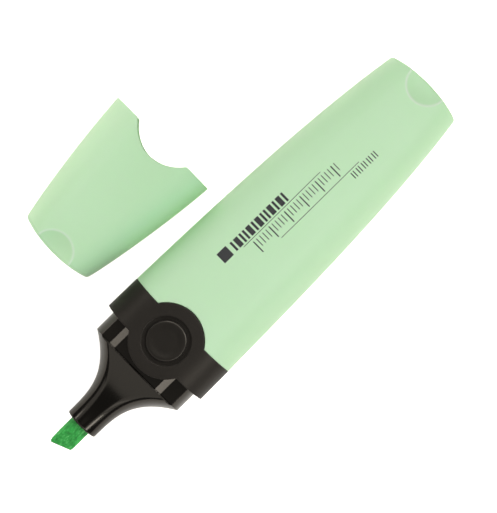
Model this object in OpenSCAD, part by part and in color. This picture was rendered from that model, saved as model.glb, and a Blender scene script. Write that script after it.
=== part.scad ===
// A flat highlighter lying on its broad face, with its cap pulled off and laid beside it.
// The pen runs along X with the nib at -X; the cap lies at +Y; +Z is up. Millimetres.
// Lengths along the pen are counted from the front face of the collar, rearwards positive.

/* [Collar and boss] */
// Width of the collar, the widest place on the pen
collar_w = 27; // [25:0.1:29]
// Thickness of the collar
collar_t = 16.6; // [15.6:0.1:17.6]
// Length of the collar
collar_len = 7.8; // [7:0.1:9]
// Radius of the round boss on each broad face
boss_r = 7.9; // [7.6:0.05:8.2]
// Distance of the boss's centre behind the collar's front face
boss_x = 3.4; // [3:0.1:3.8]
// Radius of the ring-shaped groove's outer wall
groove_r = 5.2; // [5:0.05:5.6]
// Depth of the groove
groove_depth = 0.8; // [0.5:0.05:1]
// Radius of the button set in the boss
button_r = 4.25; // [3.8:0.05:4.4]
// Thickness of the button
button_t = 1.3; // [1.1:0.05:1.5]

/* [Shoulder, cone and nose] */
// Width of the shoulder that the cap slides over
shoulder_w = 23.6; // [23:0.02:23.7]
// Thickness of the shoulder
shoulder_t = 13.8; // [13.4:0.1:14]
// Length of the shoulder
shoulder_len = 5.1; // [4.5:0.05:5.3]
// Length of the sunk faces of the shoulder, which reach a little into the cone
sunk_len = 5.4; // [5:0.1:6]
// Depth of the sunk faces at the raised middle of the shoulder
sunk_depth = 0.3; // [0.1:0.05:0.5]
// Width of the raised middle of the shoulder, at its top
plateau_w = 11.7; // [11:0.1:12.4]
// Sideways offset of the raised middle from the pen's axis
plateau_aside = 0.5; // [0:0.1:0.8]
// Depth of the channel on each side of the raised middle, below the middle
channel_depth = 0.75; // [0.5:0.05:1]
// Width of the sloped bank between the raised middle and a channel
bank_w = 1.55; // [1:0.05:2]
// Length of the flared cone in front of the shoulder
cone_len = 15.65; // [13:0.05:17]
// Length of the straight nose in front of the cone
nose_len = 0.5; // [0.4:0.1:2]
// Diameter of the nose
nose_d = 7.5; // [7.4:0.1:8]

/* [Nib and ink] */
// Diameter of the felt nib
nib_d = 4.8; // [4.4:0.1:5.2]
// Length of nib that shows in front of the nose
nib_out = 7; // [6:0.1:7.5]
// Length of nib behind the nose's front face
nib_in = 37; // [35:0.5:38]
// Length of the sloped faces that make the chisel, on the nib's centreline
chisel_len = 4; // [3:0.1:5]
// Thickness of the chisel's edge
chisel_edge = 0.5; // [0.3:0.1:0.8]
// Angle by which the chisel's edge leans from square
chisel_slant = 22; // [10:1:30]
// Width of the ink reservoir
reservoir_w = 16.5; // [14:0.5:17]
// Thickness of the ink reservoir
reservoir_t = 10; // [8:0.5:10.5]
// Length of the ink reservoir
reservoir_len = 54; // [40:1:55]
// Thickness of the film round the reservoir
film_wall = 0.2; // [0.15:0.05:0.3]

/* [Barrel] */
// Length of the barrel behind the collar
barrel_len = 70.8; // [68:0.1:73]
// Width of the barrel at the collar
barrel_w = 26.77; // [26:0.01:26.8]
// Width of the barrel at its closed end
barrel_end_w = 18.36; // [17:0.02:19]
// Thickness of a closed end, barrel or cap
end_t = 11.6; // [11:0.1:12.4]
// Wall thickness of the barrel
barrel_wall = 1.2; // [1:0.1:1.3]

/* [Cap] */
// Length of the cap
cap_len = 31.9; // [31:0.05:33]
// Width of the cap at its mouth
cap_w = 26.4; // [26:0.02:26.6]
// Width of the cap at its closed end
cap_end_w = 17.5; // [17:0.02:18.4]
// Thickness of the cap at its mouth
cap_t = 16.4; // [16:0.1:16.6]
// Wall of the cap at its narrow sides
cap_wall = 0.88; // [0.7:0.02:0.9]
// Radius of the notch in the cap's mouth, which goes round the boss
notch_r = 8.55; // [8.3:0.05:8.8]
// Depth of that notch
notch_depth = 3.8; // [3.5:0.05:4]
// Wall of the inner cap
liner_wall = 0.9; // [0.7:0.05:1]

/* [Ends and layout] */
// Bow of a closed end, from its corners to its middle
end_bow = 1.15; // [0.8:0.05:2]
// Rounding of a closed end's edges
end_round = 0.6; // [0.4:0.1:0.8]
// Radius of the thumb dent in each face of a closed end
dent_r = 4.85; // [4.4:0.05:5.2]
// Depth of the thumb dent
dent_depth = 1.1; // [0.6:0.1:1.2]
// Sideways distance between the pen's axis and the axis of the cap beside it
cap_aside = 29.5; // [29:0.1:34]
// Distance of the cap's mouth behind the collar's front face, as it lies
cap_mouth_x = 31.3; // [20:0.1:40]

/* [Hidden] */
$fn = 96;

// Shape of the cross-sections: share of the half-width that is flat, and of the half-thickness that is upright
body_flat = 0.42;
body_side = 0.15;
shoulder_flat = 0.68;
shoulder_side = 0.1;
corner_steps = 8;
crown_steps = 4;
end_steps = 4;

// Share of the narrowing that is straight, and the power of the rest
barrel_straight = 0.34;
barrel_power = 3;
cap_straight = 0.42;
cap_power = 1.63;
cone_w_power = 3.2;
cone_t_power = 2;
// Share of a shell's length over which its broad faces stay parallel, so that it lies flat
barrel_parallel = 0.45;
cap_parallel = 0.3;
// How late along a shell its end's bow sets in
bow_power = 8;

fit_gap = 0.1;
overlap = 0.5;
boss_plate = 2.2;
spigot_len = 6;
spigot_wall = 1.2;
tube_wall = 1.5;
end_wall = 6;
nose_round = 0.3;
button_rim = 0.35;
button_dish = 0.15;
cap_end_wall = 1.5;
// Extra wall at the cap's broad faces, at its mouth and added towards the closed end for the thumb dents
cap_face_extra = 0.3;
cap_end_extra = 0.6;
cap_extra_power = 4;
// Place along the cap at which its hollow is as rounded as its outside
cap_hollow_round_x = 8;
rib_w = 1.2;

// Radius and distance behind the cap's mouth, inside the inner cap: at its lip, at its waist and at its floor
liner_lip = [4.4, 13];
liner_waist = [3.95, 20.5];
liner_floor = [3, cap_len - cap_end_wall - liner_wall];

nose_x = -shoulder_len - cone_len - nose_len;
tip_x = nose_x - nib_out;
pen_end_x = collar_len + barrel_len;
spigot_end_x = collar_len + spigot_len;
reservoir_x = collar_len + 3;
axis_z = collar_t / 2;
shift_x = -(tip_x + pen_end_x) / 2;
shift_y = (collar_w / 2 - cap_aside - cap_w / 2) / 2;

// Half-width and half-thickness of a shell at the share f of its length
function shell_half_w(f, w0, w1, straight, power) =
    w0 / 2 - (w0 - w1) / 2 * (straight * f + (1 - straight) * pow(f, power));
function shell_half_t(f, t0, parallel) =
    t0 / 2 - (t0 - end_t) / 2 * pow(max(0, f - parallel) / (1 - parallel), 2);

// The half of a cross-section at +Z, from +Y to -Y: elliptical corners and a flat crown between them
function half_section(a, b, flat, side) =
    let (ry = a * (1 - flat), rz = b * (1 - side))
    concat(
        [for (j = [0:corner_steps])
            let (t = 90 * j / corner_steps)
            [a - ry + ry * cos(t), b - rz + rz * sin(t)]],
        [for (j = [1:crown_steps - 1]) [(a - ry) * (1 - 2 * j / crown_steps), b]],
        [for (j = [0:corner_steps])
            let (t = 90 + 90 * j / corner_steps)
            [ry - a + ry * cos(t), b - rz + rz * sin(t)]]);

// Outline of a whole cross-section of half-width a and half-thickness b, with upright sides
function section(a, b, flat, side) =
    let (half = half_section(a, b, flat, side), m = len(half))
    concat(half, [for (i = [m - 1:-1:0]) [half[i][0], -half[i][1]]]);

// One ring of a loft at x, whose sides lag behind its middle by bow at half-width a
function ring(x, a, b, flat, side, bow = 0) =
    [for (p = section(a, b, flat, side)) [x - bow * pow(p[0] / a, 2), p[0], p[1]]];

// A closed solid through a list of rings, in order of x
module loft(rings) {
    m = len(rings[0]);
    last = (len(rings) - 1) * m;
    sides = [for (k = [0:len(rings) - 2], i = [0:m - 1]) each
        [[k * m + i, (k + 1) * m + i, k * m + (i + 1) % m],
         [(k + 1) * m + i, (k + 1) * m + (i + 1) % m, k * m + (i + 1) % m]]];
    front = [for (i = [0:m / 2 - 2]) each [[i, i + 1, m - 1 - i], [i + 1, m - 2 - i, m - 1 - i]]];
    back = [for (t = front) [last + t[0], last + t[2], last + t[1]]];
    polyhedron(points = [for (r = rings) each r], faces = concat(sides, front, back));
}

// Rings of a shell that is open at x = 0 and closed at x = length, inset by the walls
function shell_rings(length, w0, w1, t0, straight, power, parallel, steps) = concat(
    [for (i = [0:steps])
        let (f = i / steps, x = f * (length - end_round))
        ring(x, shell_half_w(f, w0, w1, straight, power), shell_half_t(f, t0, parallel),
            body_flat, body_side, end_bow * pow(f, bow_power))],
    [for (i = [1:end_steps])
        let (t = 90 * i / end_steps, inset = end_round * (1 - cos(t)))
        ring(length - end_round + end_round * sin(t), w1 / 2 - inset, end_t / 2 - inset,
            body_flat, body_side, end_bow)]);

// The thumb dents at x in both faces of a closed end, where the faces slope at this angle
module thumb_dents(x, slope) {
    ball_r = (pow(dent_r, 2) + pow(dent_depth, 2)) / (2 * dent_depth);
    lift = ball_r - dent_depth;
    for (s = [-1, 1])
        translate([x + lift * sin(slope), 0, s * (end_t / 2 + lift * cos(slope))])
            sphere(ball_r, $fn = 180);
}

// Slope of a shell's broad faces at its closed end
function end_slope(length, t0, parallel) = atan((t0 - end_t) / (1 - parallel) / length);

// A disc along Z that joins the broad faces, for the boss and for the notches around it
module boss_disc(r) {
    translate([boss_x, 0, -collar_t])
        cylinder(r = r, h = 2 * collar_t);
}

module stadium(x, length, w, t) {
    translate([x, 0, 0])
        rotate([90, 0, 90])
            linear_extrude(length) {
                square([w - t, t], center = true);
                for (s = [-1, 1])
                    translate([s * (w - t) / 2, 0])
                        circle(d = t);
            }
}

module barrel_cavity() {
    steps = 12;
    reach = barrel_len - end_wall;
    translate([collar_len, 0, 0])
        loft(concat(
            [ring(-overlap, barrel_w / 2 - barrel_wall, collar_t / 2 - barrel_wall, body_flat, body_side)],
            [for (i = [0:steps])
                let (f = i / steps * reach / barrel_len)
                ring(f * barrel_len,
                    shell_half_w(f, barrel_w, barrel_end_w, barrel_straight, barrel_power) - barrel_wall,
                    shell_half_t(f, collar_t, barrel_parallel) - barrel_wall, body_flat, body_side)]));
}

// Four ribs along the inside of the barrel that hold the reservoir in the middle
module barrel_ribs() {
    rib_len = reservoir_len / 2;
    rib_x = reservoir_x + rib_len / 2;
    for (s = [-1, 1]) {
        z0 = reservoir_t / 2 + film_wall + fit_gap;
        z1 = collar_t / 2 - barrel_wall + fit_gap;
        translate([rib_x, -rib_w / 2, s > 0 ? z0 : -z1])
            cube([rib_len, rib_w, z1 - z0]);
        y0 = reservoir_w / 2 + film_wall + fit_gap;
        y1 = barrel_w / 2 - barrel_wall;
        translate([rib_x, s > 0 ? y0 : -y1, -rib_w / 2])
            cube([rib_len, y1 - y0, rib_w]);
    }
}

module barrel() {
    color("palegreen")
        translate([shift_x, shift_y, axis_z])
            difference() {
                translate([collar_len, 0, 0])
                    loft(shell_rings(barrel_len, barrel_w, barrel_end_w, collar_t,
                        barrel_straight, barrel_power, barrel_parallel, 16));
                difference() {
                    barrel_cavity();
                    barrel_ribs();
                }
                boss_disc(boss_r + fit_gap);
                thumb_dents(pen_end_x, end_slope(barrel_len, collar_t, barrel_parallel));
            }
}

// What is cut from the shoulder's broad faces: its sunk middle and a channel on each side of it
module shoulder_cuts() {
    top = shoulder_t / 2;
    middle_z = top - sunk_depth;
    floor_z = middle_z - channel_depth;
    inner = plateau_w / 2;
    for (turn = [0, 180])
        rotate([turn, 0, 0])
            translate([-sunk_len, plateau_aside, 0])
                rotate([90, 0, 90])
                    linear_extrude(sunk_len)
                        polygon([[-shoulder_w, floor_z], [-inner - bank_w, floor_z], [-inner, middle_z],
                            [inner, middle_z], [inner + bank_w, floor_z], [shoulder_w, floor_z],
                            [shoulder_w, top + overlap], [-shoulder_w, top + overlap]]);
}

// Rings of the cone, round at the nose and as flat as the shoulder at the back
function cone_rings(steps) = concat(
    [for (i = [0:end_steps])
        let (t = 90 * i / end_steps, r = nose_d / 2 - nose_round * (1 - sin(t)))
        ring(nose_x + nose_round * (1 - cos(t)), r, r, 0, 0)],
    [for (i = [0:steps])
        let (f = i / steps, nose_r = nose_d / 2)
        ring(nose_x + nose_len + f * cone_len,
            nose_r + (shoulder_w / 2 - nose_r) * pow(f, cone_w_power),
            nose_r + (shoulder_t / 2 - nose_r) * pow(f, cone_t_power),
            shoulder_flat * f, shoulder_side * f)]);

module section_block(x0, x1, w, t, flat, side) {
    loft([for (x = [x0, x1]) ring(x, w / 2, t / 2, flat, side)]);
}

// The two round plates of the boss, flush with the collar's broad faces
module boss_plates() {
    difference() {
        intersection() {
            section_block(-2 * boss_r, 2 * boss_r, collar_w, collar_t, body_flat, body_side);
            boss_disc(boss_r);
        }
        section_block(-3 * boss_r, 3 * boss_r, collar_w, collar_t - 2 * boss_plate, 0, 0);
    }
}

// The hollow behind the collar, round the tube that holds the nib
module section_hollow() {
    difference() {
        section_block(tube_wall, spigot_end_x + overlap,
            barrel_w - 2 * barrel_wall - 2 * spigot_wall,
            collar_t - 2 * barrel_wall - 2 * spigot_wall, body_flat, body_side);
        rotate([0, 90, 0])
            cylinder(r = nib_d / 2 + tube_wall, h = collar_len);
    }
}

module nib_section() {
    color("dimgray")
        translate([shift_x, shift_y, axis_z])
            difference() {
                union() {
                    difference() {
                        union() {
                            loft(cone_rings(12));
                            section_block(-shoulder_len, overlap, shoulder_w, shoulder_t,
                                shoulder_flat, shoulder_side);
                        }
                        shoulder_cuts();
                    }
                    section_block(0, collar_len, collar_w, collar_t, body_flat, body_side);
                    section_block(collar_len - overlap, spigot_end_x,
                        barrel_w - 2 * barrel_wall - 4 * fit_gap,
                        collar_t - 2 * barrel_wall - fit_gap, body_flat, body_side);
                    boss_plates();
                }
                section_hollow();
                translate([nose_x - overlap, 0, 0])
                    rotate([0, 90, 0])
                        cylinder(d = nib_d + fit_gap, h = spigot_end_x - nose_x);
                for (s = [-1, 1])
                    scale([1, 1, s])
                        translate([boss_x, 0, 0]) {
                            translate([0, 0, collar_t / 2 - groove_depth])
                                cylinder(r = groove_r, h = collar_t);
                            translate([0, 0, collar_t / 2 - fit_gap - button_t])
                                cylinder(r = button_r + fit_gap / 2, h = collar_t);
                        }
            }
}

// A button on the face at s, with a round rim and a shallow dish
module button(s) {
    color("black")
        translate([shift_x + boss_x, shift_y, axis_z])
            scale([1, 1, s])
                translate([0, 0, collar_t / 2 - fit_gap - button_t])
                    rotate_extrude()
                        polygon(concat(
                            [[0, 0], [button_r, 0]],
                            [for (t = [0:15:90])
                                [button_r - button_rim + button_rim * cos(t),
                                    button_t - button_rim + button_rim * sin(t)]],
                            [[0, button_t - button_dish]]));
}

module top_button() {
    button(1);
}

module bottom_button() {
    button(-1);
}

module nib() {
    edge_x = tan(chisel_slant) * nib_d / 2;
    slope = (nib_d - chisel_edge) / 2 / chisel_len;
    far_x = 2 * chisel_len;
    far_z = chisel_edge / 2 + far_x * slope;
    color("forestgreen")
        translate([shift_x, shift_y, axis_z])
            intersection() {
                translate([tip_x, 0, 0])
                    rotate([0, 90, 0])
                        cylinder(d = nib_d, h = nib_out + nib_in);
                translate([tip_x + edge_x, 0, 0])
                    multmatrix([[1, -tan(chisel_slant), 0, 0], [0, 1, 0, 0], [0, 0, 1, 0]])
                        rotate([90, 0, 0])
                            linear_extrude(2 * nib_d, center = true)
                                polygon([[0, chisel_edge / 2], [0, -chisel_edge / 2], [far_x, -far_z],
                                    [2 * nib_in, -nib_d], [2 * nib_in, nib_d], [far_x, far_z]]);
            }
}

module reservoir_core() {
    color("limegreen")
        translate([shift_x, shift_y, axis_z])
            difference() {
                stadium(reservoir_x, reservoir_len, reservoir_w, reservoir_t);
                translate([tip_x, 0, 0])
                    rotate([0, 90, 0])
                        cylinder(d = nib_d, h = nib_out + nib_in);
            }
}

module reservoir_film() {
    color("lightcyan")
        translate([shift_x, shift_y, axis_z])
            difference() {
                stadium(reservoir_x, reservoir_len, reservoir_w + 2 * film_wall, reservoir_t + 2 * film_wall);
                stadium(reservoir_x - overlap, reservoir_len + 2 * overlap, reservoir_w, reservoir_t);
            }
}

// Puts a cap part, drawn with its mouth at x = 0 and its closed end at +X, in its place beside the pen
module place_cap() {
    translate([shift_x + cap_mouth_x, shift_y + cap_aside, cap_t / 2])
        mirror([1, 0, 0])
            children();
}

// The cap's hollow, which fits the shoulder at the mouth and follows the outside farther in
module cap_cavity() {
    steps = 12;
    reach = cap_len - cap_end_wall;
    loft(concat(
        [ring(-overlap, shoulder_w / 2 + fit_gap, shoulder_t / 2 + fit_gap, shoulder_flat, shoulder_side)],
        [for (i = [0:steps])
            let (x = i / steps * reach, f = x / cap_len,
                square_share = min(1, max(0, 2 - 2 * x / cap_hollow_round_x)))
            ring(x,
                min(shoulder_w / 2 + fit_gap,
                    shell_half_w(f, cap_w, cap_end_w, cap_straight, cap_power) - cap_wall),
                min(shoulder_t / 2 + fit_gap,
                    shell_half_t(f, cap_t, cap_parallel) - cap_wall - cap_face_extra
                        - cap_end_extra * pow(f, cap_extra_power)),
                body_flat + (shoulder_flat - body_flat) * square_share,
                body_side + (shoulder_side - body_side) * square_share)]));
}

module cap_shell() {
    color("palegreen")
        place_cap()
            difference() {
                loft(shell_rings(cap_len, cap_w, cap_end_w, cap_t,
                    cap_straight, cap_power, cap_parallel, 10));
                cap_cavity();
                translate([notch_depth - notch_r, 0, -cap_t])
                    cylinder(r = notch_r, h = 2 * cap_t);
                thumb_dents(cap_len, end_slope(cap_len, cap_t, cap_parallel));
            }
}

// A thimble that closes round the nose and keeps the nib wet
module inner_cap() {
    color("honeydew")
        place_cap()
            rotate([0, 90, 0])
                rotate_extrude()
                    polygon([liner_lip, liner_waist, liner_floor,
                        [0, liner_floor[1]], [0, liner_floor[1] + liner_wall],
                        liner_floor + [liner_wall, liner_wall],
                        liner_waist + [liner_wall, 0], liner_lip + [liner_wall, 0]]);
}

barrel();
nib_section();
top_button();
bottom_button();
nib();
reservoir_core();
reservoir_film();
cap_shell();
inner_cap();
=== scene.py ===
"""Looks of a flat highlighter, lying on its broad face with its cap beside it. Sizes are in millimetres unless said."""

import math

import bmesh
import bpy
import numpy as np
from mathutils import Matrix, Vector, noise


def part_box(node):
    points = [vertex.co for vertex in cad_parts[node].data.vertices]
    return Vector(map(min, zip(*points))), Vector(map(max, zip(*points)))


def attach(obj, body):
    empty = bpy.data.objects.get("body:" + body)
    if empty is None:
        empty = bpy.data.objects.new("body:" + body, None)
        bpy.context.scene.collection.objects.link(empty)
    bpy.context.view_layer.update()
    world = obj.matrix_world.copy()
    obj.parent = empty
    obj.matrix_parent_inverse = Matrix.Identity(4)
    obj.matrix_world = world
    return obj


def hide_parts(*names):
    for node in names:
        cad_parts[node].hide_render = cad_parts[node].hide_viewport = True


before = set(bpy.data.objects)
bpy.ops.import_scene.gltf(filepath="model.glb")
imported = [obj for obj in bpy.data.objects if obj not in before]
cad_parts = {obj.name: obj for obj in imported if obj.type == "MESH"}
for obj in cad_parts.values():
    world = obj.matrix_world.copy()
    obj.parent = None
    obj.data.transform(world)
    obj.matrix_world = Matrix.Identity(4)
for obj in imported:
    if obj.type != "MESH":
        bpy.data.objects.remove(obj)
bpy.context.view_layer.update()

MM = 0.001


def box_mm(node):
    """Lowest and highest corner of a CAD node, in millimetres."""
    low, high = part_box(node)
    return np.array(low) / MM, np.array(high) / MM


# Places and sizes read from the frame
BARREL_LOW, BARREL_HIGH = box_mm("barrel")
SECTION_LOW, SECTION_HIGH = box_mm("nib_section")
NIB_LOW, NIB_HIGH = box_mm("nib")
CAP_LOW, CAP_HIGH = box_mm("cap_shell")
LINER_LOW, LINER_HIGH = box_mm("inner_cap")

PEN_Y = (SECTION_LOW[1] + SECTION_HIGH[1]) / 2
AXIS_Z = (SECTION_LOW[2] + SECTION_HIGH[2]) / 2
CAP_Y = (CAP_LOW[1] + CAP_HIGH[1]) / 2
CAP_AXIS_Z = (CAP_LOW[2] + CAP_HIGH[2]) / 2

BARREL_LEN = BARREL_HIGH[0] - BARREL_LOW[0]
BARREL_W = BARREL_HIGH[1] - BARREL_LOW[1]
COLLAR_W = SECTION_HIGH[1] - SECTION_LOW[1]
COLLAR_T = SECTION_HIGH[2] - SECTION_LOW[2]
CAP_LEN = CAP_HIGH[0] - CAP_LOW[0]
CAP_W = CAP_HIGH[1] - CAP_LOW[1]
CAP_T = CAP_HIGH[2] - CAP_LOW[2]

# The rest of the pen's dimensions, as the CAD part has them
COLLAR_LEN = 7.8
BOSS_R = 7.9
BOSS_X = 3.4
GROOVE_R = 5.2
GROOVE_DEPTH = 0.8
SHOULDER_W = 23.6
SHOULDER_T = 13.8
SHOULDER_LEN = 5.1
SUNK_LEN = 5.4
SUNK_DEPTH = 0.3
PLATEAU_W = 11.7
PLATEAU_ASIDE = 0.5
CHANNEL_DEPTH = 0.75
BANK_W = 1.55
CONE_LEN = 15.65
NOSE_LEN = 0.5
NOSE_D = 7.5
CHISEL_LEN = 4.0
CHISEL_EDGE = 0.5
CHISEL_SLANT = math.radians(22)
BARREL_END_W = 18.36
CAP_END_W = 17.5
END_T = 11.6
NOTCH_R = 8.55
NOTCH_DEPTH = 3.8
END_BOW = 1.15
END_ROUND = 0.6
DENT_R = 4.85
DENT_DEPTH = 1.1
FIT_GAP = 0.1
BODY_FLAT, BODY_SIDE = 0.42, 0.15
SHOULDER_FLAT, SHOULDER_SIDE = 0.68, 0.1

# Small shapes that only the looks have: doming, edges, the bow and lead of the collar's front and back
DOME, DOME_REACH = 0.03, 1.3
# The second of these is no shape: it is how wide the painted highlight along the thumb dent's edge spreads.
DENT_EDGE, DENT_HIGHLIGHT_WIDTH = 0.1, 0.11
WALL_RIM = 0.13
SEAM_BOW, SEAM_LEAD, SEAM_FLAT, SEAM_SPAN = 0.32, 0.12, 6.9, 6.5
FRONT_BOW, FRONT_LEAD, FRONT_FLAT, FRONT_SPAN = 0.42, 0.5, 8, 5.4
SEAM_GAP = 0.03
BORE_R, NOSE_LIP, NOSE_BOW = 2.46, 0.3, 0.3
PRINT_LIFT, PRINT_SINK = 0.008, 0.03

# How finely the shells are made
SHELL_COLUMNS = 56
DENT_ZONE, DENT_STEP = 7.5, 0.2
CUT_FADE = 8.0
NOTCH_REACH = 9.0

# Stage, in metres, and lights, in millimetres
FLOOR_SIZE, FLOOR_DROP, BACKDROP_RADIUS = 30, 0.00003, 14
LIGHT_DISTANCE = 700.0

# Front face of the collar, from which lengths along the pen are counted
COLLAR_X = BARREL_LOW[0] - COLLAR_LEN


def smoothstep(x):
    x = np.clip(x, 0, 1)
    return x * x * (3 - 2 * x)


def soft_min(a, b, width):
    """The lower of a and b, rounded over this width where they cross."""
    h = np.clip(width - np.abs(a - b), 0, None) / width
    return np.minimum(a, b) - h * h * width / 4


# ---------------------------------------------------------------- cross-sections

def quarter(a, b, flat, side, share):
    """Points of a cross-section's first quarter at these shares of its run, from the side's middle to the crown's."""
    ry, rz = a * (1 - flat), b * (1 - side)
    angle = np.linspace(0, math.pi / 2, 120)
    y = np.concatenate([[a], a - ry + ry * np.cos(angle), [0]])
    z = np.concatenate([[0], b - rz + rz * np.sin(angle), [b]])
    run = np.concatenate([[0], np.cumsum(np.hypot(np.diff(y), np.diff(z)))])
    return np.interp(share * run[-1], run, y), np.interp(share * run[-1], run, z)


def share_at(y_wanted, a, b, flat, side):
    """Share of the quarter's run at which it has this y."""
    share = np.linspace(0, 1, 2000)
    y, _ = quarter(a, b, flat, side, share)
    return float(np.interp(-y_wanted, -y, share))


def follow_y(shares, outer, inner, reach):
    """Shares of the inner section's quarter at which it has the outer one's y, where that is below reach."""
    outer_y, _ = quarter(*outer, shares)
    probe = np.linspace(0, 1, 4000)
    inner_y, _ = quarter(*inner, probe)
    beyond = shares / share_at(reach, *outer) * share_at(reach, *inner)
    return np.where(outer_y < reach, np.interp(-outer_y, -inner_y, probe), beyond)


def column_shares(count, extra=(), support=0.004):
    """Evenly spaced shares, with close groups of three at the extra ones, where an edge runs."""
    groups = [s + d for s in extra for d in (-support, 0, support)]
    even = [s for s in np.linspace(0, 1, count) if all(abs(s - g) > 1.5 * support for g in groups)]
    return np.array(sorted([*even, *groups]))


def whole(first_y, first_z):
    """All four quarters of a ring from its first one."""
    y = np.concatenate([first_y, -first_y[-2::-1], -first_y[1:], first_y[-2:0:-1]])
    z = np.concatenate([first_z, first_z[-2::-1], -first_z[1:], -first_z[-2:0:-1]])
    return y, z


# ---------------------------------------------------------------- meshes

def grid_faces(rows, columns, closed_rows=False):
    """Quads of a grid whose columns close on themselves; rows too, for a ring-shaped solid."""
    faces = []
    for j in range(rows if closed_rows else rows - 1):
        low, high = j * columns, (j + 1) % rows * columns
        for i in range(columns):
            k = (i + 1) % columns
            faces.append((low + i, low + k, high + k, high + i))
    return faces


def make_piece(name, points, faces, material, body, replaces=(), smooth=True):
    """A mesh object from points in millimetres, which rides on a body and wears a material."""
    mesh = bpy.data.meshes.new(name)
    mesh.from_pydata([tuple(p) for p in np.asarray(points) * MM], [], faces)
    mesh.validate()
    piece = bpy.data.objects.new(name, mesh)
    bpy.context.collection.objects.link(piece)
    make_outward(mesh)
    if smooth:
        mesh.shade_smooth()
    mesh.materials.append(material)
    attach(piece, body)
    if replaces:
        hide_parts(*replaces)
    return piece


def make_outward(mesh):
    """Joins doubled points and turns all faces outwards."""
    work = bmesh.new()
    work.from_mesh(mesh)
    bmesh.ops.remove_doubles(work, verts=work.verts, dist=1e-7)
    bmesh.ops.recalc_face_normals(work, faces=work.faces)
    work.to_mesh(mesh)
    work.free()


def closed_loft(rings):
    """Points and faces of rings joined in order, each end closed by a fan."""
    count = len(rings[0])
    points = np.concatenate([*rings, [rings[0].mean(axis=0)], [rings[-1].mean(axis=0)]])
    faces = grid_faces(len(rings), count)
    first, last = len(points) - 2, len(points) - 1
    start = (len(rings) - 1) * count
    faces += [(first, (i + 1) % count, i) for i in range(count)]
    faces += [(last, start + i, start + (i + 1) % count) for i in range(count)]
    return points, faces


def lathe(profile, segments, centre, axis="z"):
    """Points and faces of a profile of (radius, height) turned round an axis through centre."""
    angle = np.linspace(0, 2 * math.pi, segments, endpoint=False)
    rings = []
    for r, h in profile:
        c, s = r * np.cos(angle), r * np.sin(angle)
        flat = np.full(segments, float(h))
        rings.append(np.stack([c, s, flat] if axis == "z" else [flat, c, s], axis=1) + centre)
    return closed_loft(rings)


def arc(centre, radius, start, end, steps):
    """Points of an arc, angles in degrees."""
    angle = np.radians(np.linspace(start, end, steps + 1))
    return [(centre[0] + radius * math.cos(t), centre[1] + radius * math.sin(t)) for t in angle]


# ---------------------------------------------------------------- the two green shells

class Shell:
    """The shape of a hollow closed at one end: x runs from its mouth to its closed end."""

    def __init__(self, length, mouth_w, end_w, mouth_t, straight, power, parallel, notch_r, notch_x,
                 corner, seam=None):
        self.length, self.mouth_w, self.end_w, self.mouth_t = length, mouth_w, end_w, mouth_t
        self.straight, self.power, self.parallel = straight, power, parallel
        self.notch_r, self.notch_x, self.corner, self.seam = notch_r, notch_x, corner, seam
        self.mouth = (mouth_w / 2, mouth_t / 2, BODY_FLAT, BODY_SIDE)
        slope = math.atan((mouth_t - END_T) / (1 - parallel) / length)
        ball_r = (DENT_R ** 2 + DENT_DEPTH ** 2) / (2 * DENT_DEPTH)
        lift = ball_r - DENT_DEPTH
        self.ball = (length + lift * math.sin(slope), END_T / 2 + lift * math.cos(slope), ball_r)

    def half_w(self, x):
        """Half the width at x."""
        f = np.clip(x / self.length, 0, 1)
        narrowing = self.straight * f + (1 - self.straight) * f ** self.power
        return self.mouth_w / 2 - (self.mouth_w - self.end_w) / 2 * narrowing

    def half_t(self, x):
        """Half the thickness at x, constant along the parallel part."""
        f = np.clip(x / self.length - self.parallel, 0, None) / (1 - self.parallel)
        return self.mouth_t / 2 - (self.mouth_t - END_T) / 2 * np.minimum(f, 1) ** 2

    def notch(self, y):
        """How far the mouth's edge is cut back at y, round the boss, with rounded corners."""
        inside = np.sqrt(np.clip(self.notch_r ** 2 - y ** 2, 0, None))
        edge = self.seam(y) if self.seam else 0 * y
        cut = np.where(np.abs(y) < self.notch_r, self.notch_x + inside, self.notch_x)
        return -soft_min(-cut, -edge, self.corner)

    def crown(self, x, y):
        """Share of its height that a point keeps, so that the broad faces are slightly domed."""
        return 1 - DOME * np.clip(np.abs(y) / (self.half_w(x) * BODY_FLAT * DOME_REACH), 0, 1) ** 2

    def top(self, x, y):
        """Height of the broad face above the axis, without the thumb dent."""
        a, b = self.half_w(x), self.half_t(x)
        ry, rz = a * (1 - BODY_FLAT), b * (1 - BODY_SIDE)
        over = np.clip((np.abs(y) - (a - ry)) / ry, 0, 1)
        return (b - rz + rz * np.sqrt(1 - over ** 2)) * self.crown(x, y)

    def dented(self, x, y, z):
        """z with the thumb dent in both faces."""
        top = self.top(x, y)
        ball_x, ball_z, ball_r = self.ball
        inside = ball_r ** 2 - (x - ball_x) ** 2 - y ** 2
        dent = np.where(inside > 0, ball_z - np.sqrt(np.clip(inside, 0, None)), ball_z)
        return z * soft_min(top, dent, DENT_EDGE) / top

    def painted_highlight_share(self, x, y, z):
        """How much painted highlight a point, counted from the mouth and the axis, gets along the rim of a thumb dent:
        a paler colour standing in for light caught on the rounded edge.
        """
        top = self.top(x, y)
        ball_x, ball_z, ball_r = self.ball
        inside = ball_r ** 2 - (x - ball_x) ** 2 - y ** 2
        step = top - ball_z + np.sqrt(np.clip(inside, 0, None))
        outside = (np.abs(z) > 0.8 * top - 0.4) & (x > self.length / 2)
        return np.where(outside, np.exp(-(step / DENT_HIGHLIGHT_WIDTH) ** 2), 0)


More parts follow.
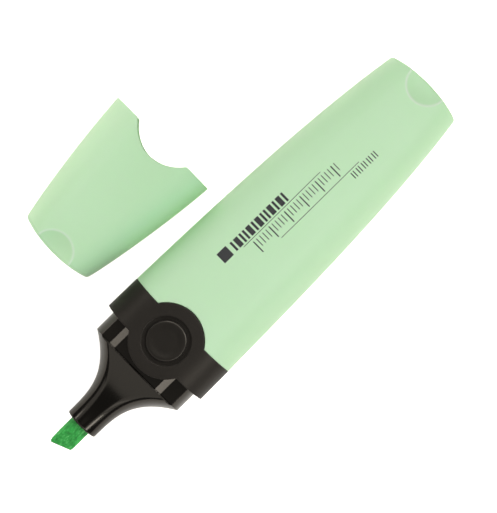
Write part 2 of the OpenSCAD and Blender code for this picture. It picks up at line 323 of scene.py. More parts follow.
def shell_rings(shell, inner_rings):
    """Rings of a shell from the middle of its closed end, over the outside, round the rim and along the inside."""
    a0, b0 = shell.mouth[:2]
    kink = math.sqrt(shell.notch_r ** 2 - shell.notch_x ** 2)
    kink_share = share_at(kink, *shell.mouth)
    shares = column_shares(SHELL_COLUMNS, [kink_share + 0.013 * k for k in (-2, -1, 0, 1, 2)])
    unit_y, unit_z = whole(*(v / w for v, w in zip(quarter(*shell.mouth, shares), (a0, b0))))
    length = shell.length
    end_start = length - END_ROUND
    rings = []

    def outer(x, inset=0.0, scale=1.0, bow=0.0):
        y = (shell.half_w(x) - inset) * unit_y * scale
        z = (shell.half_t(x) - inset) * unit_z * scale * shell.crown(x, y)
        moved = x - bow * (unit_y * scale) ** 2
        return np.stack([moved + 0 * y, y, shell.dented(np.maximum(moved, x - 2), y, z)], axis=1)

    for scale in np.linspace(0.04, 0.98, 26):
        rings.append(outer(length, END_ROUND, scale, END_BOW))
    for angle in np.linspace(90, 0, 9):
        turn = math.radians(angle)
        inset = END_ROUND * (1 - math.cos(turn))
        rings.append(outer(end_start + END_ROUND * math.sin(turn), inset, 1.0, END_BOW))
    near_end = end_start - np.array([0.12, 0.3])
    dent_rows = np.arange(end_start - 0.5, length - DENT_ZONE, -DENT_STEP)
    middle = np.linspace(dent_rows[-1] - 0.8, 4.2, int((dent_rows[-1] - 5) / 1.1))
    near_mouth = np.array([3.4, 2.7, 2.1, 1.6, 1.2, 0.85, 0.55, 0.35, 0.22])
    cut = shell.notch(a0 * unit_y)
    for d in [*near_end, *dent_rows, *middle, *near_mouth]:
        rings.append(outer(d + cut * cut_share(d), 0.0, 1.0, END_BOW * (d / length) ** 8))
    for angle in np.linspace(0, 90, 5):
        turn = math.radians(angle)
        rings.append(outer(cut + WALL_RIM * (1 - math.sin(turn)), WALL_RIM * (1 - math.cos(turn))))
    return rings + inner_rings(shell, shares, cut)


def cut_share(depth):
    """Share of the mouth's cut that a ring at this depth still follows."""
    return np.clip(1 - depth / CUT_FADE, 0, 1)


def inside_rings(shell, shares, cut, section_at, size_at, floor_x):
    """Rings of a shell's inside, from its rim to its floor, with the outside's y round the notch."""
    def ring(x, depth, outwards):
        section = section_at(depth)
        y, z = whole(*quarter(*section, follow_y(shares, shell.mouth, section, NOTCH_REACH)))
        half_w, half_t = size_at(x)
        return np.stack([x, y * (half_w + outwards) / section[0], z * (half_t + outwards) / section[1]], axis=1)

    made = []
    for angle in np.linspace(90, 0, 4):
        turn = math.radians(angle)
        made.append(ring(cut + WALL_RIM * (1 - math.sin(turn)), 0.0, WALL_RIM * (1 - math.cos(turn))))
    for depth in np.linspace(0.4, floor_x, 30):
        made.append(ring(depth + cut * cut_share(depth), depth, 0.0))
    return made


def barrel_inside(shell, shares, cut):
    """The barrel's inside: as the outside, one wall in."""
    wall, end_wall = 1.2, 6.0
    section = (shell.mouth_w / 2 - wall, shell.mouth_t / 2 - wall, BODY_FLAT, BODY_SIDE)
    return inside_rings(shell, shares, cut, lambda depth: section,
                        lambda x: (shell.half_w(x) - wall, shell.half_t(x) - wall), shell.length - end_wall)


def cap_inside(shell, shares, cut):
    """The cap's inside: it fits the shoulder at the mouth and follows the outside farther in."""
    wall, end_wall, face_extra, end_extra, round_x = 0.88, 1.5, 0.3, 0.6, 8.0
    a, b = SHOULDER_W / 2 + FIT_GAP, SHOULDER_T / 2 + FIT_GAP

    def section_at(depth):
        square = min(1.0, max(0.0, 2 - 2 * depth / round_x))
        return a, b, BODY_FLAT + (SHOULDER_FLAT - BODY_FLAT) * square, BODY_SIDE + (SHOULDER_SIDE - BODY_SIDE) * square

    def size_at(x):
        face_wall = wall + face_extra + end_extra * (x / shell.length) ** 4
        return np.minimum(a, shell.half_w(x) - wall), np.minimum(b, shell.half_t(x) - face_wall)

    return inside_rings(shell, shares, cut, section_at, size_at, shell.length - end_wall)


# ---------------------------------------------------------------- materials

def new_material(name):
    """A material with its nodes, their links and its shader."""
    material = bpy.data.materials.new(name)
    material.use_nodes = True
    nodes = material.node_tree.nodes
    return material, nodes, material.node_tree.links, nodes["Principled BSDF"]


def add_noise(nodes, links, coords, scale, detail, roughness=0.55, stretch=(1, 1, 1)):
    """A noise texture in object space, in metres."""
    mapping = nodes.new("ShaderNodeMapping")
    mapping.inputs["Scale"].default_value = stretch
    texture = nodes.new("ShaderNodeTexNoise")
    texture.inputs["Scale"].default_value = scale
    texture.inputs["Detail"].default_value = detail
    texture.inputs["Roughness"].default_value = roughness
    links.new(coords.outputs["Object"], mapping.inputs["Vector"])
    links.new(mapping.outputs["Vector"], texture.inputs["Vector"])
    return texture.outputs["Fac"]


def add_ramp(nodes, links, source, stops):
    """A colour ramp from (place, colour) stops."""
    ramp = nodes.new("ShaderNodeValToRGB")
    elements = ramp.color_ramp.elements
    while len(elements) > len(stops):
        elements.remove(elements[-1])
    while len(elements) < len(stops):
        elements.new(1.0)
    for element, (place, colour) in zip(elements, stops):
        element.position = place
        element.color = (*colour, 1.0)
    links.new(source, ramp.inputs["Fac"])
    return ramp.outputs["Color"]


def add_range(nodes, links, source, low, high):
    """source, from 0..1 to low..high."""
    ranged = nodes.new("ShaderNodeMapRange")
    ranged.inputs["To Min"].default_value = low
    ranged.inputs["To Max"].default_value = high
    links.new(source, ranged.inputs["Value"])
    return ranged.outputs["Result"]


def add_bump(nodes, links, shader, heights):
    """Bumps chained one on the other: (height source, distance in metres, strength)."""
    normal = None
    for source, distance, strength in heights:
        bump = nodes.new("ShaderNodeBump")
        bump.inputs["Distance"].default_value = distance
        bump.inputs["Strength"].default_value = strength
        links.new(source, bump.inputs["Height"])
        if normal is not None:
            links.new(normal, bump.inputs["Normal"])
        normal = bump.outputs["Normal"]
    links.new(normal, shader.inputs["Normal"])


def moulded_plastic(name, colour, darker, roughness, grain, specular=0.5, subsurface=0.0, ripple=0.3,
                    tint=(1, 1, 1), rim=None):
    """Moulded plastic: a faint mottling of colour, uneven gloss, fine grain, a slow ripple and perhaps a painted
    highlight, a paler colour along the thumb dents' rims.
    """
    material, nodes, links, shader = new_material(name)
    coords = nodes.new("ShaderNodeTexCoord")
    slow = add_noise(nodes, links, coords, 90, 3)
    fine = add_noise(nodes, links, coords, 2600, 6, 0.65)
    colour_out = add_ramp(nodes, links, slow, [(0.25, darker), (0.75, colour)])
    # Painted highlight: where the rim attribute is high, the colour is mixed towards the paler rim colour, standing in
    # for light caught on the dent's edge.
    if rim:
        attribute = nodes.new("ShaderNodeAttribute")
        attribute.attribute_name = "rim"
        mix = nodes.new("ShaderNodeMix")
        mix.data_type = "RGBA"
        mix.inputs["B"].default_value = (*rim, 1.0)
        links.new(attribute.outputs["Fac"], mix.inputs["Factor"])
        links.new(colour_out, mix.inputs["A"])
        colour_out = mix.outputs["Result"]
    links.new(colour_out, shader.inputs["Base Color"])
    links.new(add_range(nodes, links, slow, roughness - 0.04, roughness + 0.04), shader.inputs["Roughness"])
    shader.inputs["Specular Tint"].default_value = (*tint, 1.0)
    add_bump(nodes, links, shader, [(slow, 0.00012, ripple), (fine, 0.00002, grain)])
    shader.inputs["Specular IOR Level"].default_value = specular
    if subsurface:
        shader.inputs["Subsurface Weight"].default_value = subsurface
        shader.inputs["Subsurface Radius"].default_value = (0.6, 1.0, 0.5)
        shader.inputs["Subsurface Scale"].default_value = 0.0015
    return material


def felt(name, dark, mid, light):
    """Bonded felt: fibres along the nib, mottled where the ink sits, with a rough surface."""
    material, nodes, links, shader = new_material(name)
    coords = nodes.new("ShaderNodeTexCoord")
    blotch = add_noise(nodes, links, coords, 700, 4, 0.6, (0.6, 1, 1))
    fibre = add_noise(nodes, links, coords, 3200, 5, 0.7, (0.22, 1, 1))
    mix = nodes.new("ShaderNodeMath")
    mix.operation = "MULTIPLY_ADD"
    mix.inputs[1].default_value = 0.55
    links.new(fibre, mix.inputs[0])
    half = add_range(nodes, links, blotch, 0.0, 0.45)
    links.new(half, mix.inputs[2])
    colour = add_ramp(nodes, links, mix.outputs["Value"], [(0.36, dark), (0.5, mid), (0.66, light)])
    links.new(colour, shader.inputs["Base Color"])
    links.new(add_range(nodes, links, fibre, 0.55, 0.85), shader.inputs["Roughness"])
    add_bump(nodes, links, shader, [(blotch, 0.00025, 0.5), (fibre, 0.00012, 0.7)])
    return material


def clear_film(name):
    """Thin clear film with a faint crinkle."""
    material, nodes, links, shader = new_material(name)
    coords = nodes.new("ShaderNodeTexCoord")
    crinkle = add_noise(nodes, links, coords, 500, 3)
    shader.inputs["Base Color"].default_value = (0.85, 0.93, 0.88, 1)
    shader.inputs["Transmission Weight"].default_value = 0.9
    shader.inputs["IOR"].default_value = 1.45
    links.new(add_range(nodes, links, crinkle, 0.1, 0.25), shader.inputs["Roughness"])
    add_bump(nodes, links, shader, [(crinkle, 0.0001, 0.5)])
    return material


WARM = (1.0, 0.9, 0.76)
# The rim colour of both greens is a painted highlight: a paler green laid along the thumb dents' edges.
BARREL_GREEN = moulded_plastic("barrel_green_plastic", (0.6, 0.895, 0.555), (0.585, 0.88, 0.535), 0.42, 0.10,
                               specular=0.6, subsurface=0.15, rim=(0.76, 0.93, 0.72))
CAP_GREEN = moulded_plastic("cap_green_plastic", (0.605, 0.88, 0.545), (0.59, 0.865, 0.525), 0.42, 0.10,
                            specular=0.65, subsurface=0.15, rim=(0.76, 0.93, 0.72))
BLACK_GLOSS = moulded_plastic("black_gloss_plastic", (0.0028, 0.0024, 0.002), (0.002, 0.0018, 0.0015), 0.15, 0.03,
                              ripple=0.1, tint=WARM)
BLACK_GRAIN = moulded_plastic("black_grained_plastic", (0.019, 0.0167, 0.0142), (0.0143, 0.0125, 0.0107), 0.42, 0.5,
                              specular=0.2, tint=WARM)
BUTTON_BLACK = moulded_plastic("black_button_plastic", (0.010, 0.0088, 0.0075), (0.0075, 0.0065, 0.0055), 0.3, 0.25,
                               tint=WARM)
PALE_PLASTIC = moulded_plastic("pale_inner_plastic", (0.72, 0.82, 0.70), (0.68, 0.79, 0.66), 0.45, 0.15,
                               subsurface=0.2)
PRINT_BLACK = moulded_plastic("print_ink", (0.012, 0.013, 0.014), (0.009, 0.01, 0.011), 0.4, 0.1)
FELT_GREEN = felt("green_felt", (0.01, 0.2, 0.025), (0.028, 0.4, 0.056), (0.15, 0.62, 0.17))
INK_FIBRE = felt("ink_fibre", (0.02, 0.35, 0.05), (0.05, 0.5, 0.09), (0.1, 0.6, 0.15))
FILM = clear_film("clear_film")


# ---------------------------------------------------------------- pen pieces

BARREL_SHAPE = Shell(BARREL_LEN, BARREL_W, BARREL_END_W, COLLAR_T - 0.02, 0.34, 3.0, 0.45,
                     BOSS_R + FIT_GAP, BOSS_X - COLLAR_LEN, 0.08, lambda y: parting_bow(y) + SEAM_GAP)
CAP_SHAPE = Shell(CAP_LEN, CAP_W, CAP_END_W, CAP_T, 0.42, 1.63, 0.3, NOTCH_R, NOTCH_DEPTH - NOTCH_R, 0.3)


def make_shell(name, shape, inside, place, forwards, material, body, node):
    """A green shell whose mouth's middle is at place and whose closed end lies forwards along X, +1 or -1."""
    points, faces = closed_loft(shell_rings(shape, inside))
    piece = make_piece(name, points * (forwards, 1, 1) + place, faces, material, body, [node])
    local = (np.array([v.co for v in piece.data.vertices]) / MM - place) * (forwards, 1, 1)
    # The rim attribute marks where the painted highlight along the thumb dents' edges goes.
    rim = piece.data.attributes.new("rim", "FLOAT", "POINT")
    rim.data.foreach_set("value", shape.painted_highlight_share(*local.T).astype(np.float32))
    return piece


def make_barrel():
    """The barrel, its mouth at the collar."""
    place = np.array([BARREL_LOW[0], PEN_Y, AXIS_Z])
    return make_shell("barrel_shell", BARREL_SHAPE, barrel_inside, place, 1, BARREL_GREEN, "pen",
                      "barrel")


def make_cap():
    """The cap, its mouth towards the barrel's end."""
    place = np.array([CAP_HIGH[0], CAP_Y, CAP_AXIS_Z])
    return make_shell("cap_outer", CAP_SHAPE, cap_inside, place, -1, CAP_GREEN, "cap",
                      "cap_shell")


def make_section_core():
    """The cone and the shoulder with its sunk faces, closed behind and with a bore for the nib in front."""
    a, b = SHOULDER_W / 2, SHOULDER_T / 2
    middle_z = b - SUNK_DEPTH
    floor_z = middle_z - CHANNEL_DEPTH
    edges = [PLATEAU_W / 2, PLATEAU_W / 2 + BANK_W]
    breaks = [y + side * PLATEAU_ASIDE for y in edges for side in (-1, 1)]
    probe = np.linspace(0, 1, 4000)
    probe_y, probe_z = quarter(a, b, SHOULDER_FLAT, SHOULDER_SIDE, probe)
    shares = [float(np.interp(-y, -probe_y, probe)) for y in breaks]
    shares.append(float(np.interp(floor_z, probe_z, probe)))
    columns = column_shares(56, shares, 0.0045)

    def ring(x, half_w, half_t, flat, side, sunk=0.0):
        y, z = whole(*quarter(half_w, half_t, flat, side, columns))
        aside = y - PLATEAU_ASIDE * np.sign(z)
        cut = np.interp(np.abs(aside), [0, edges[0], edges[1], 99], [middle_z, middle_z, floor_z, floor_z])
        z = z + np.sign(z) * (np.minimum(np.abs(z), cut) - np.abs(z)) * sunk
        return np.stack([x + 0 * y, y, z], axis=1)

    nose_x = -SHOULDER_LEN - CONE_LEN - NOSE_LEN
    nose_r = NOSE_D / 2

    def cone_ring(x, sunk=0.0):
        f = min(1.0, (x + SHOULDER_LEN + CONE_LEN) / CONE_LEN)
        return ring(x, nose_r + (a - nose_r) * f ** 3.2, nose_r + (b - nose_r) * f ** 2,
                    SHOULDER_FLAT * f, SHOULDER_SIDE * f, sunk)

    rings = []
    front = [(3.0, BORE_R * 0.5), (3.0, BORE_R), (1.0, BORE_R), (0.3, BORE_R), (0.14, BORE_R + 0.02),
             (0.05, BORE_R + 0.08), (0.0, BORE_R + 0.2), (0.0, BORE_R + 0.45)]
    for turn in np.radians(np.linspace(0, 90, 8)):
        front.append((NOSE_LIP * (1 - math.cos(turn)), nose_r - NOSE_LIP * (1 - math.sin(turn))))
    for x, r in [*front, (0.42, nose_r)]:
        bowed = ring(nose_x + x, r, r, 0, 0)
        bowed[:, 0] -= NOSE_BOW * (1 - (bowed[:, 1] / nose_r) ** 2) * max(0.0, 1 - x / 0.45)
        rings.append(bowed)
    cone_x = nose_x + NOSE_LEN
    rings += [cone_ring(x) for x in np.linspace(cone_x, -SUNK_LEN - 0.25, 60)]
    wall = [(-0.14, 0), (-0.06, 0), (0.0, 0), (0.03, 0.12), (0.06, 0.5), (0.09, 0.88), (0.12, 1), (0.2, 1), (0.35, 1)]
    rings += [cone_ring(-SUNK_LEN + x, sunk) for x, sunk in wall]
    rings += [cone_ring(x, 1.0) for x in (-SHOULDER_LEN - 0.12, -SHOULDER_LEN - 0.04, -SHOULDER_LEN + 0.04,
                                          -SHOULDER_LEN + 0.12, -SHOULDER_LEN + 0.5, -3.0, -2.0, -1.0, 0.0, 1.5)]
    spigot_w, spigot_t, chamfer, spigot_end = BARREL_W / 2 - 1.6, COLLAR_T / 2 - 1.25, 0.2, COLLAR_LEN + 6.0
    for x in (1.6, 7.0, COLLAR_LEN + 5.8):
        rings.append(ring(x, spigot_w, spigot_t, BODY_FLAT, BODY_SIDE))
    rings.append(ring(spigot_end, spigot_w - chamfer, spigot_t - chamfer, BODY_FLAT, BODY_SIDE))
    points, faces = closed_loft(rings)
    points = points + (COLLAR_X, PEN_Y, AXIS_Z)
    return make_piece("section_core", points, faces, BLACK_GLOSS, "pen", ["nib_section"])


def parting_bow(y):
    """How far the seam between collar and barrel lags behind the collar's length at y."""
    return SEAM_BOW * np.clip((np.abs(y) - SEAM_FLAT) / SEAM_SPAN, 0, 1) ** 2 - SEAM_LEAD


def make_collar():
    """The collar with the round boss on both faces, a band closed on itself, with a groove cut round each button."""
    a, b = COLLAR_W / 2, COLLAR_T / 2
    taper = 0.09
    kinks = [math.sqrt(BOSS_R ** 2 - BOSS_X ** 2), math.sqrt(BOSS_R ** 2 - (COLLAR_LEN - BOSS_X) ** 2)]
    shares = column_shares(60, [share_at(y, a, b, BODY_FLAT, BODY_SIDE) for y in kinks], 0.004)
    first_y, first_z = quarter(a, b, BODY_FLAT, BODY_SIDE, shares)
    unit_y, unit_z = whole(first_y / a, first_z / b)
    y = unit_y * a
    reach = np.sqrt(np.clip(BOSS_R ** 2 - y ** 2, 0, None))
    inside = np.abs(y) < BOSS_R
    edge = FRONT_BOW * np.clip((np.abs(y) - FRONT_FLAT) / FRONT_SPAN, 0, 1) ** 2 - FRONT_LEAD
    front = np.where(inside, np.minimum(BOSS_X - reach, edge), edge)
    seam = COLLAR_LEN + parting_bow(y)
    back = np.where(inside, np.maximum(BOSS_X + reach, seam), seam)
    depth, rim = 2.6, 0.18

    def ring(x, inset):
        side = taper * np.clip(x / COLLAR_LEN, 0, 1)
        return np.stack([x, (a - inset - side) * unit_y, (b - inset) * unit_z], axis=1)

    turns = np.radians(np.linspace(0, 90, 6))
    rings = [ring(front + rim * (1 - math.sin(t)), rim * (1 - math.cos(t))) for t in turns[::-1]]
    for share in [0.03, 0.08, *np.linspace(0.16, 0.84, 12), 0.92, 0.97]:
        rings.append(ring(front + rim + (back - front - 2 * rim) * share, 0.0))
    rings += [ring(back - rim * (1 - math.sin(t)), rim * (1 - math.cos(t))) for t in turns]
    rings += [ring(back, inset) for inset in (0.35, 0.8, 1.5, depth)]
    rings += [ring(front + (back - front) * share, depth) for share in (0.75, 0.5, 0.25)]
    rings += [ring(front, inset) for inset in (depth, 1.5, 0.8, 0.35)]
    points = np.concatenate(rings) + (COLLAR_X, PEN_Y, AXIS_Z)
    faces = grid_faces(len(rings), len(y), closed_rows=True)
    collar = make_piece("collar_and_boss", points, faces, BLACK_GRAIN, "pen", ["nib_section"])
    cut_groove(collar)
    return collar


def cut_groove(collar):
    """Cuts the round recess with rounded rim and foot into both faces of the boss."""
    rim, foot = 0.13, 0.15
    profile = [(0.001, -GROOVE_DEPTH), (GROOVE_R - foot - 0.3, -GROOVE_DEPTH),
               *arc((GROOVE_R - foot, -GROOVE_DEPTH + foot), foot, -90, 0, 4),
               *arc((GROOVE_R + rim, -rim), rim, 180, 90, 6),
               (GROOVE_R + rim + 0.1, 0.6), (0.001, 0.6)]
    for side in (1, -1):
        points, faces = lathe([(r, h * side) for r, h in profile], 144,
                              (COLLAR_X + BOSS_X, PEN_Y, AXIS_Z + side * COLLAR_T / 2))
        cutter = make_piece("groove_cutter", points, faces, BLACK_GRAIN, "pen")
        cut = collar.modifiers.new("groove", "BOOLEAN")
        cut.object = cutter
        cut.operation = "DIFFERENCE"
        cut.solver = "EXACT"
        bpy.context.view_layer.update()
        depsgraph = bpy.context.evaluated_depsgraph_get()
        mesh = bpy.data.meshes.new_from_object(collar.evaluated_get(depsgraph))
        collar.modifiers.clear()
        collar.data = mesh
        bpy.data.objects.remove(cutter)
    collar.data.shade_smooth()
    weighted = collar.modifiers.new("weighted_normals", "WEIGHTED_NORMAL")
    weighted.keep_sharp = True


def make_button(name, node, side):
    """A round button with a rounded rim and a shallow dish, in its place on a face."""
    low, high = box_mm(node)
    radius, thickness = (high[0] - low[0]) / 2, high[2] - low[2]
    rim, dish = 0.38, 0.14
    profile = [(0.02, 0), (radius * 0.6, 0), (radius - 0.1, 0), (radius, 0.1)]
    profile += arc((radius - rim, thickness - rim), rim, 0, 86, 9)
    for share in np.linspace(0.9, 0.02, 14):
        r = (radius - rim) * share
        profile.append((r, thickness - dish * smoothstep((radius - rim - r) / 1.6)))
    face_z = low[2] if side > 0 else high[2]
    centre = ((low[0] + high[0]) / 2, (low[1] + high[1]) / 2, face_z)
    points, faces = lathe([(r, h * side) for r, h in profile], 120, centre)
    return make_piece(name, points, faces, BUTTON_BLACK, "pen", [node])


def make_nib():
    """A round felt rod whose end is cut to a slanted chisel, with a rough, slightly frayed surface."""
    lump_scale, lump_height, fibre_along, fibre_across, fibre_height = 2.3, 0.03, 1.2, 7, 0.022
    radius = (NIB_HIGH[1] - NIB_LOW[1]) / 2 - 0.01
    slope = (radius - CHISEL_EDGE / 2) / CHISEL_LEN
    columns = 96
    angle = np.linspace(0, 2 * math.pi, columns, endpoint=False)
    round_y, round_z = radius * np.cos(angle), radius * np.sin(angle)
    rows = [0.0, 0.05, 0.12, 0.22, *np.arange(0.36, 8.0, 0.17), 9.0, 12.0, 20.0, 30.0, NIB_HIGH[0] - NIB_LOW[0] - 2.0]
    rings = []
    for d in rows:
        cap_side = 1 - 0.1 * max(0.0, 1 - d / 3.6) ** 2 - 0.11 * max(0.0, 1 - d / 0.6) ** 2
        other_side = 1 - 0.05 * max(0.0, 1 - d / 0.7) ** 2
        y = round_y * np.where(round_y > 0, cap_side, other_side)
        half = CHISEL_EDGE / 2 * (0.5 + 0.5 * min(1.0, d / 0.12)) + slope * d
        z = np.sign(round_z) * soft_min(np.abs(round_z), half + 0 * round_z, 0.12 + 0.1 * min(d, 1))
        corner = 0.22 * np.clip((np.abs(y) / radius - 0.86) / 0.14, 0, 1) ** 2 * max(0.0, 1 - d / 0.8)
        lead = math.tan(CHISEL_SLANT) * (radius - y) - 0.2
        x = NIB_LOW[0] + 0.03 - soft_min(-lead, 0 * lead, 0.2) + d + corner
        rings.append(np.stack([x, y + PEN_Y, z + AXIS_Z], axis=1))
    points, faces = closed_loft(rings)
    for i, p in enumerate(points):
        where = Vector(p)
        fibres = Vector((p[0] * fibre_along, p[1] * fibre_across, p[2] * fibre_across))
        rough = noise.noise(where * lump_scale) * lump_height + noise.noise(fibres) * fibre_height
        out = Vector((0, p[1] - PEN_Y, p[2] - AXIS_Z))
        if out.length > 0.2:
            points[i] = where + out.normalized() * (rough - 0.005)
    return make_piece("felt_nib", points, faces, FELT_GREEN, "pen", ["nib"])


def make_inner_cap():
    """The thimble inside the cap, with rounded lips."""
    length = LINER_HIGH[0] - LINER_LOW[0]
    wall = 0.9
    mouth_r = (LINER_HIGH[1] - LINER_LOW[1]) / 2 - wall
    middle_r, deep_r, middle_x = 3.95, 3.0, 7.5
    floor_x = length - wall
    lip = wall / 2
    inner = [(0.02, floor_x), (deep_r - 0.5, floor_x), (deep_r, floor_x - 0.4), (middle_r, middle_x),
             (mouth_r, lip)]
    outer = [(mouth_r + wall, lip), (middle_r + wall, middle_x), (deep_r + wall, floor_x),
             (deep_r + wall - 0.15, length), (0.02, length)]
    profile = [*inner, *arc((mouth_r + lip, lip), lip, 180, 360, 8)[1:-1], *outer]
    points, faces = lathe(profile, 96, (0, 0, 0), axis="x")
    points = points * (-1, 1, 1) + (LINER_HIGH[0], CAP_Y, CAP_AXIS_Z)
    return make_piece("inner_cap_thimble", points, faces, PALE_PLASTIC, "cap", ["inner_cap"])


# ---------------------------------------------------------------- print on the barrel

def on_barrel(x, y, lift):
    """Point on the barrel's upper face, x and y counted from the collar's front and the pen's axis."""
    z = BARREL_SHAPE.top(x - COLLAR_LEN, y)
    return np.array([COLLAR_X + x, PEN_Y + y, AXIS_Z + z + lift])


def print_patch(outline_rows):
    """A thin closed solid on the barrel through rows of (x, y) points."""
    rows, columns = len(outline_rows), len(outline_rows[0])
    top = [on_barrel(x, y, PRINT_LIFT) for row in outline_rows for x, y in row]
    under = [on_barrel(x, y, -PRINT_SINK) for row in outline_rows for x, y in row]
    faces = []
    count = rows * columns
    for j in range(rows - 1):
        for i in range(columns - 1):
            a, b, c, d = j * columns + i, j * columns + i + 1, (j + 1) * columns + i + 1, (j + 1) * columns + i
            faces += [(a, b, c, d), (d + count, c + count, b + count, a + count)]
    border = list(range(columns)) + [j * columns + columns - 1 for j in range(1, rows)]
    border += [(rows - 1) * columns + i for i in range(columns - 2, -1, -1)]
    border += [j * columns for j in range(rows - 2, 0, -1)]
    for i, k in zip(border, border[1:] + border[:1]):
        faces.append((k, i, i + count, k + count))
    return top + under, faces


def bar(x0, x1, y0, y1):
    """Rows of points of a bar."""
    along = np.linspace(0, 1, max(2, int((x1 - x0) / 1.5) + 1))
    across = np.linspace(0, 1, max(2, int((y1 - y0) / 0.8) + 1))
    return [[(x0 + (x1 - x0) * s, y0 + (y1 - y0) * t) for s in along] for t in across]


def make_print():
    """Generic print: a square, a row of blocks, a scale of ticks between two thin rules, and pairs of short bars."""
    block_gap, tick_step, pair_step = 0.45, 0.88, 1.45
    patches = [bar(23.1, 25.65, 2.9, 5.4)]
    left = 26.6
    for width in (0.5, 1.1, 0.5, 0.5, 1.1, 0.5, 1.1, 0.5, 0.5, 1.1, 0.5, 1.1, 0.5):
        patches.append(bar(left, left + width, 3.0, 5.2))
        left += width + block_gap
    patches.append(bar(28.2, 50.0, 2.55, 2.67))
    patches.append(bar(35.0, 57.1, -1.5, -1.38))
    for k in range(27):
        tall = k % 5 == 0
        left = 30.2 + tick_step * k
        patches.append(bar(left, left + (0.26 if tall else 0.18), -0.9 if tall else 0.1, 2.0))
    for k in range(5):
        left = 54.2 + pair_step * k
        patches += [bar(left, left + 0.22, -3.4, -1.9), bar(left + 0.6, left + 0.82, -3.4, -1.9)]
    points, faces = [], []
    for rows in patches:
        new_points, new_faces = print_patch(rows)
        faces += [tuple(i + len(points) for i in face) for face in new_faces]
        points += new_points
    return make_piece("printed_marks", points, faces, PRINT_BLACK, "pen", smooth=False)


# ---------------------------------------------------------------- stage, lights and camera

def make_floor():
    """A pale plain floor, brighter to the camera than to the pieces, so that it stays white without flooding them."""
    material, nodes, links, shader = new_material("pale_floor")
    shader.inputs["Base Color"].default_value = (0.85, 0.82, 0.77, 1)
    shader.inputs["Roughness"].default_value = 0.9
    shader.inputs["Specular IOR Level"].default_value = 0.1
    shader.inputs["Emission Color"].default_value = (1, 0.97, 0.93, 1)
    path = nodes.new("ShaderNodeLightPath")
    links.new(add_range(nodes, links, path.outputs["Is Camera Ray"], 0.25, 0.95), shader.inputs["Emission Strength"])
    bpy.ops.mesh.primitive_plane_add(size=FLOOR_SIZE, location=(0, 0, -FLOOR_DROP))
    floor = bpy.context.object
    floor.name = "floor"
    floor.data.materials.append(material)
    return floor


def make_backdrop():
    """A pale dome that only the camera sees, so that low views have a plain background."""
    material, nodes, links, shader = new_material("pale_backdrop")
    shader.inputs["Base Color"].default_value = (0, 0, 0, 1)
    shader.inputs["Emission Color"].default_value = (0.97, 0.975, 0.98, 1)
    shader.inputs["Emission Strength"].default_value = 1.0
    bpy.ops.mesh.primitive_uv_sphere_add(segments=64, ring_count=32, radius=BACKDROP_RADIUS, location=(0, 0, 0))
    dome = bpy.context.object
    dome.name = "backdrop"
    dome.data.materials.append(material)
    dome.visible_diffuse = False
    dome.visible_glossy = False
    dome.visible_shadow = False
    dome.visible_transmission = False


def add_light(name, azimuth, tilt, size, radiance, receivers, along=0.0, colour=(1, 1, 1)):
    """An area light aimed at the object: azimuth from +X, tilt from straight up, size across and up, in degrees
    and mm. It lights only the collection receivers, and along shifts it parallel to X."""
    turn, lean = math.radians(azimuth), math.radians(tilt)
    away = Vector((math.sin(lean) * math.cos(turn), math.sin(lean) * math.sin(turn), math.cos(lean)))
    data = bpy.data.lights.new(name, "AREA")
    data.shape = "RECTANGLE"
    data.size, data.size_y = size[0] * MM, size[1] * MM
    data.energy = radiance * math.pi * data.size * data.size_y
    data.color = colour
    light = bpy.data.objects.new(name, data)
    place = (away * LIGHT_DISTANCE + Vector((along, 0, 0))) * MM
    light.matrix_world = Matrix.Translation(place) @ away.to_track_quat("Z", "Y").to_matrix().to_4x4()
    bpy.context.collection.objects.link(light)
    light.light_linking.receiver_collection = receivers


def light_group(name, pieces):
    """A collection of what a group of lights shines on."""
    group = bpy.data.collections.new(name)
    for piece in pieces:
        group.objects.link(piece)
    return group


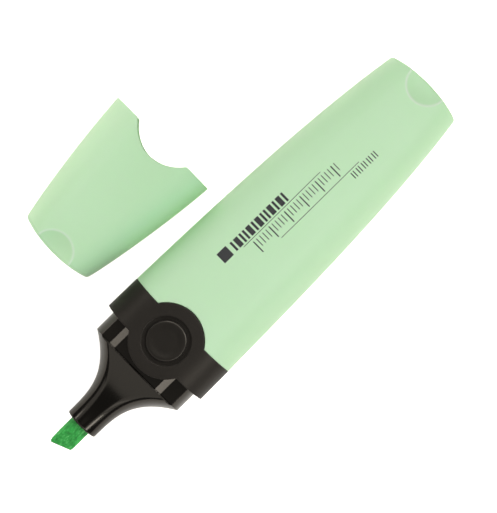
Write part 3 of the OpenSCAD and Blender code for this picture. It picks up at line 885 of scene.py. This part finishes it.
def make_lights(section_pieces, barrel_pieces, cap_pieces):
    """The three parts are lit apart, as in the photo: the dark section by big softboxes beyond the pen's end, a dim
    one before the nib and a narrow strip along each side; barrel and cap by soft lights all round."""
    section = light_group("lit_with_section", section_pieces)
    barrel = light_group("lit_with_barrel", barrel_pieces)
    cap = light_group("lit_with_cap", cap_pieces)
    add_light("rear_softbox", 0, 50, (1250, 520), 2.45, section)
    add_light("rear_low_right", 324, 71, (260, 160), 13.0, section)
    add_light("rear_low_left", 40, 74, (420, 240), 3.0, section)
    add_light("rear_high", 20, 22, (350, 220), 1.1, section)
    add_light("front_softbox", 188, 50, (800, 460), 0.85, section)
    add_light("front_left", 125, 50, (420, 420), 0.75, section)
    add_light("front_right", 235, 50, (420, 420), 0.75, section)
    add_light("overhead", 180, 3, (260, 200), 0.16, section)
    add_light("pen_side_strip", 270, 47, (520, 150), 5.8, section, -10)
    add_light("cap_side_strip", 90, 54, (520, 100), 5.0, section, 85)
    soft = (400, 400)
    for name, azimuth, tilt, radiance in (
            ("barrel_rear", 0, 22, 1.2), ("barrel_high_left", 120, 22, 1.35), ("barrel_high_right", 240, 22, 1.3),
            ("barrel_rear_right", 300, 22, 1.6), ("barrel_left", 90, 40, 1.5), ("barrel_right", 270, 36, 0.95),
            ("barrel_low_left", 90, 74, 0.9), ("barrel_low_right", 270, 72, 1.5)):
        add_light(name, azimuth, tilt, soft, radiance, barrel)
    for name, azimuth, tilt, radiance, colour in (
            ("cap_high_left", 120, 22, 2.2, (1, 1, 1)), ("cap_high_front", 180, 22, 0.7, (1, 0.98, 0.98)),
            ("cap_high_right", 300, 22, 1.15, (1, 0.98, 0.98)), ("cap_front_right", 225, 40, 1.0, (0.85, 1, 0.92)),
            ("cap_right", 270, 40, 1.2, (0.85, 1, 0.92)), ("cap_left", 90, 34, 1.2, (1, 1, 1)),
            ("cap_low_left", 90, 72, 2.3, (1, 1, 1)), ("cap_low_right", 270, 76, 1.6, (0.4, 1, 0.85))):
        add_light(name, azimuth, tilt, soft, radiance, cap, colour=colour)
    world = bpy.data.worlds.new("studio")
    bpy.context.scene.world = world
    world.use_nodes = True
    world.node_tree.nodes["Background"].inputs["Color"].default_value = (1, 1, 1, 1)
    world.node_tree.nodes["Background"].inputs["Strength"].default_value = 0.1


def make_camera():
    """Straight above, a metre away, turned so that the pen runs up to the right."""
    turn = math.radians(44.46)
    distance = 1000.0
    view_height = 105.5
    sensor = 36.0
    data = bpy.data.cameras.new("camera")
    data.sensor_width = sensor
    data.lens = sensor * distance / view_height
    data.clip_start, data.clip_end = 0.01, 50
    camera = bpy.data.objects.new("camera", data)
    centre_x, centre_y = COLLAR_X + 27.5, PEN_Y + 0.55
    camera.matrix_world = Matrix.Translation(Vector((centre_x, centre_y, AXIS_Z + distance)) * MM) \
        @ Matrix.Rotation(-turn, 4, "Z")
    bpy.context.collection.objects.link(camera)
    bpy.context.scene.camera = camera


make_camera()
floor = make_floor()
make_backdrop()
bpy.context.scene.view_settings.view_transform = "Standard"

section_side = [make_section_core(), make_collar(), make_button("button_upper", "top_button", 1),
                make_button("button_lower", "bottom_button", -1), make_nib()]
barrel_side = [make_barrel(), make_print()]
cap_side = [make_cap(), make_inner_cap()]
for node, material in (("reservoir_core", INK_FIBRE), ("reservoir_film", FILM)):
    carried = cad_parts[node]
    carried.data.materials.clear()
    carried.data.materials.append(material)
    barrel_side.append(carried)
make_lights([*section_side, floor], barrel_side, cap_side)
